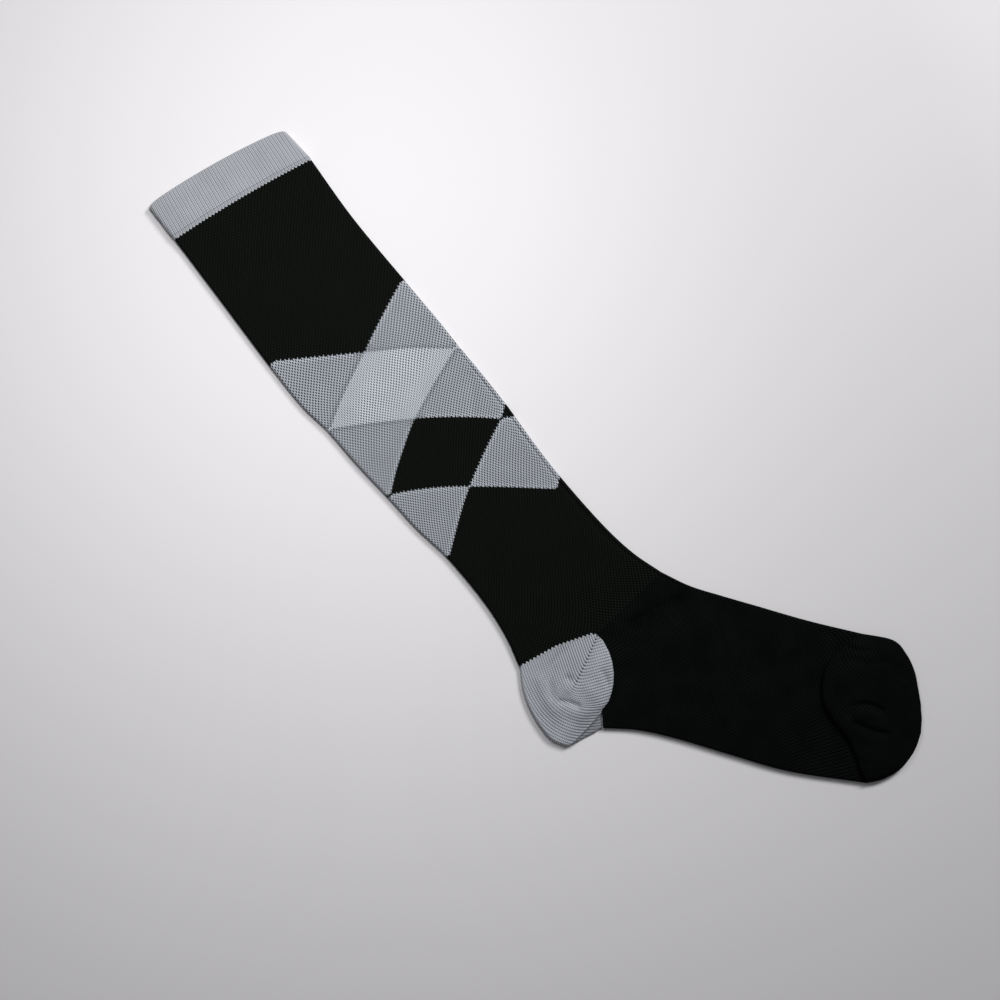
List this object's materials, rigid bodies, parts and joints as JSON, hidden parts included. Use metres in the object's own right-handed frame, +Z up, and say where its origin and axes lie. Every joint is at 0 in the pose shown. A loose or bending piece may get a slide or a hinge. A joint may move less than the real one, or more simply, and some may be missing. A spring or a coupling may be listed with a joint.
{
  "type": "compression stocking",
  "caption": "Knee-length compression stocking laid flat: ribbed grey cuff and heel, black leg, foot and toe, argyle in two greys.",
  "frame": {"origin": "middle of the stocking's box in plan, on the surface it lies on", "axes": "+X from the cuff down the leg to the heel, +Y from the calf to the shin, +Z up from the surface"},
  "size_m": [0.5528, 0.2034, 0.0074],
  "materials": {
    "grey_rib_knit": "ribbed knit, matt",
    "argyle_knit": "plain knit, black with argyle in two greys",
    "black_knit": "plain knit, matt"
  },
  "bodies": {
    "root": {"cuff": "grey_rib_knit", "leg": "argyle_knit", "heel": "grey_rib_knit", "foot": "black_knit", "toe": "black_knit"}
  },
  "joints": []
}
